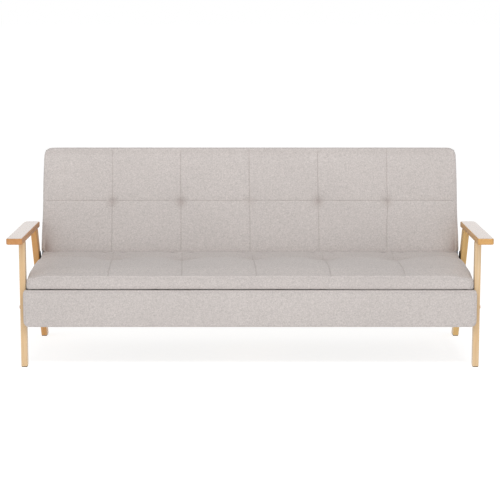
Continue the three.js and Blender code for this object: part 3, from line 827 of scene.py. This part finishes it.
class Sheet:
    """A thin cloth pulled flat over a frame, its edge folded under, a little slack in between.
    Its corners are rounded as a pad's are."""

    def __init__(self, foot, across, up, half, height, corners):
        self.foot, self.across, self.up = (np.array(v, float) for v in (foot, across, up))
        self.out = np.cross(self.across, self.up)
        self.pad = Pad((0, 0, 0), 0.0, half, height, corners, (0.0, 0.0, 0.0))
        self.half, self.height = half, height

    def at(self, x, h, out):
        return self.foot + sum(
            np.multiply.outer(v, axis) for v, axis in ((x, self.across), (h, self.up), (out, self.out))
        )

    def build(self, name, slack, fold, thickness, material, seed):
        """Two layers joined round the rim; the fold is the width of the turned-under edge."""
        xs = spaced(-self.half, self.half, 0.016)
        hs = spaced(0.0, self.height, 0.016)
        x, h = np.meshgrid(xs, hs)
        flat_x, flat_h = self.pad.round_corners(x, h)
        inset = np.minimum(self.half - np.abs(x), np.minimum(h, self.height - h))
        droop = slack * smoothstep(0.045, 0.12, inset) * (1 + 0.4 * ripples(x, h, seed, 0.4))
        ridge = 0.0004 * (1 - smoothstep(fold - 0.004, fold + 0.004, inset))
        pucker = 0.00035 * np.sin(2 * math.pi * (x + h) / 0.045) * bell(inset - fold, 0.02)
        top = self.at(flat_x, flat_h, thickness + ridge + pucker - droop)
        under = self.at(flat_x, flat_h, -droop)
        rows, cols = x.shape
        rim = grid_rim(rows, cols)
        next_rim, other = np.roll(rim, -1), rows * cols
        faces = np.concatenate([
            grid_faces(rows, cols),
            grid_faces(rows, cols)[:, ::-1] + other,
            np.stack([next_rim, rim, rim + other, next_rim + other], 1),
        ])
        points = np.concatenate([top.reshape(-1, 3), under.reshape(-1, 3)])
        cover = new_object(name, points, faces, material)
        flat = np.stack([x, h], 2).reshape(-1, 2)
        paint(cover, np.concatenate([flat, flat]))
        return cover

    def make_staples(self, name, inset, spacing, lift, material):
        """Staples along the folded edge, each a flattened wire bridge."""
        places = []
        for side in (-1, 1):
            for h in np.arange(0.05, self.height - 0.04, spacing):
                places.append((side * (self.half - inset), h, (0, 1)))
            for x in np.arange(-self.half + 0.06, self.half - 0.05, spacing):
                places.append((x, inset if side < 0 else self.height - inset, (1, 0)))
        points, faces = [], []
        long, wide, tall = 0.0055, 0.0007, 0.0006
        box = [(a, b, c) for c in (-0.0003, tall) for a, b in ((-1, -1), (1, -1), (1, 1), (-1, 1))]
        sides = ((3, 2, 1, 0), (4, 5, 6, 7), (0, 1, 5, 4), (1, 2, 6, 5), (2, 3, 7, 6), (3, 0, 4, 7))
        for x, h, (run_x, run_h) in places:
            first = len(points)
            for a, b, c in box:
                narrow = 0.9 if c == tall else 1.0
                dx = (a * long * run_x + b * wide * run_h) * narrow
                dh = (a * long * run_h + b * wide * run_x) * narrow
                points.append(self.at(np.array(x + dx), np.array(h + dh), np.array(lift + c)))
            flip = run_x == 0
            faces += [[first + i for i in (f[::-1] if flip else f)] for f in sides]
        return new_object(name, points, faces, material, smooth=False)


def make_rear_cover():
    """The cloth that closes the back's frame behind, inside the upholstery's turned-in edge."""
    up = np.array((0, math.sin(BACK_TILT), math.cos(BACK_TILT)))
    behind = np.array((0, math.cos(BACK_TILT), -math.sin(BACK_TILT)))
    half, height = 0.880, 0.412
    margin, clearance = 0.0355, 0.0018  # from the pad's foot, and behind its turned-in edge
    foot = np.array(BACK_FOOT) + up * margin + behind * (BACK_DEPTH + clearance)
    sheet = Sheet(foot, (-1, 0, 0), up, half, height, (0.010, 0.026))
    cover = sheet.build("back_rear_cloth", 0.0022, 0.012, 0.0010, fabric, 3)
    finish_piece(cover, "back", "upholstery", "back_rear_cover")


def make_dust_cloth():
    """The black cloth stapled under the seat's frame."""
    low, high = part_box("seat_dust_cover")
    half, height = high.x, high.y - low.y
    sheet = Sheet((0, high.y, high.z), (1, 0, 0), (0, -1, 0), half, height, (0.004, 0.004))
    cover = sheet.build("seat_dust_cloth", 0.0, 0.014, 0.0009, dust_cloth, 4)
    finish_piece(cover, "seat", "dust_cloth", "seat_dust_cover")
    staples = sheet.make_staples("seat_dust_cloth_staples", 0.010, 0.045, 0.0012, zinc_steel)
    finish_piece(staples, "seat", "zinc_steel")


# ---------------------------------------------------------------- wood and metal parts


def dress_frame():
    """Gives every CAD part that stays its finished material, by the first rule that fits its name."""
    rules = (
        ("armrest_right", pale_arm_wood),
        ("armrest_left", arm_wood),
        ("front_leg", leg_wood),
        ("rear_leg_right", pale_raked_wood),
        ("rear_leg_left", raked_wood),
        ("side_rail", arm_wood),
        ("foot_glide", black_rubber),
        ("seat_rest_strip", black_rubber),
        ("hinge_pivot_bolt", bronze_steel),
        ("hinge_plate_bolt", bronze_steel),
        ("hinge", black_steel),
        ("seat_rest", black_steel),
        ("rail_bolt", bronze_steel),
        ("seat_arm_bolt", zinc_steel),
        ("back_arm_bolt", zinc_steel),
        ("base_cross", side_timber),
        ("base", rail_timber),
        ("seat_slat", side_timber),
        ("seat_frame_side", side_timber),
        ("seat_frame", rail_timber),
        ("back_slat", back_timber),
        ("back_frame_side", back_timber),
        ("back_frame", rail_timber),
    )
    for node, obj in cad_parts.items():
        for start, material in rules:
            if node.startswith(start):
                obj.data.materials.clear()
                obj.data.materials.append(material)
                break
        # up-facing faces of the armrests take the darker top copy: painted shade chosen by which way a
        # face looks
        if node.startswith("armrest"):
            obj.data.materials.append(arm_top_wood)
            for face in obj.data.polygons:
                face.material_index = int(face.normal.z > 0.9)


# ---------------------------------------------------------------- floor, light, camera


def make_floor():
    size = 180
    points = [(-size, -size, 0), (size, -size, 0), (size, size, 0), (-size, size, 0)]
    n = Nodes("floor")
    material = n.finish(
        Base_Color=rgb(0.45, 0.45, 0.45),
        Roughness=0.9,
        Specular_IOR_Level=0.0,
        Emission_Color=rgb(1.0, 1.0, 1.0),
        Emission_Strength=0.80,
    )
    floor = new_object("floor", points, [(0, 1, 2, 3)], material)


def area_light(name, place, aim, size, power):
    light = bpy.data.lights.new(name, "AREA")
    light.shape = "RECTANGLE"
    light.size, light.size_y = size
    light.energy = power
    obj = bpy.data.objects.new(name, light)
    obj.location = place
    obj.rotation_euler = (Vector(aim) - Vector(place)).to_track_quat("-Z", "Y").to_euler()
    bpy.context.scene.collection.objects.link(obj)


OVERHEAD = 0.36  # brightness of the studio above, where its walls are 1


def make_light():
    """A white studio, dimmer overhead, and two soft boxes."""
    world = bpy.data.worlds.new("studio")
    world.use_nodes = True
    nodes, links = world.node_tree.nodes, world.node_tree.links
    direction = nodes.new("ShaderNodeTexCoord")
    parts = nodes.new("ShaderNodeSeparateXYZ")
    dimmer = nodes.new("ShaderNodeMapRange")
    for socket, value in ((1, 0.17), (2, 0.60), (3, 1.0), (4, OVERHEAD)):
        dimmer.inputs[socket].default_value = value
    links.new(direction.outputs["Generated"], parts.inputs[0])
    links.new(parts.outputs["Z"], dimmer.inputs[0])
    links.new(dimmer.outputs[0], nodes["Background"].inputs["Strength"])
    nodes["Background"].inputs["Color"].default_value = rgb(1.0, 1.0, 1.0)
    bpy.context.scene.world = world
    bpy.context.scene.view_settings.view_transform = "Standard"
    area_light("front_softbox", (0.3, -2.7, 4.0), (0, 0, 0.5), (3.6, 1.4), 129)
    area_light("side_softbox", (-4.2, -2.0, 2.6), (0, 0, 0.5), (2.5, 2.5), 20)


def make_camera():
    data = bpy.data.cameras.new("camera")
    data.lens = 110.69
    data.clip_end = 200
    camera = bpy.data.objects.new("camera", data)
    camera.location = (0, LEG_FRONT - 6.127, 1.430)
    camera.rotation_euler = Euler((math.radians(90 - 8.777), 0, 0))
    bpy.context.scene.collection.objects.link(camera)
    bpy.context.scene.camera = camera


make_floor()
make_light()
make_camera()
dress_frame()
make_seat()
make_back()
make_front_panel()
make_rear_cover()
make_dust_cloth()
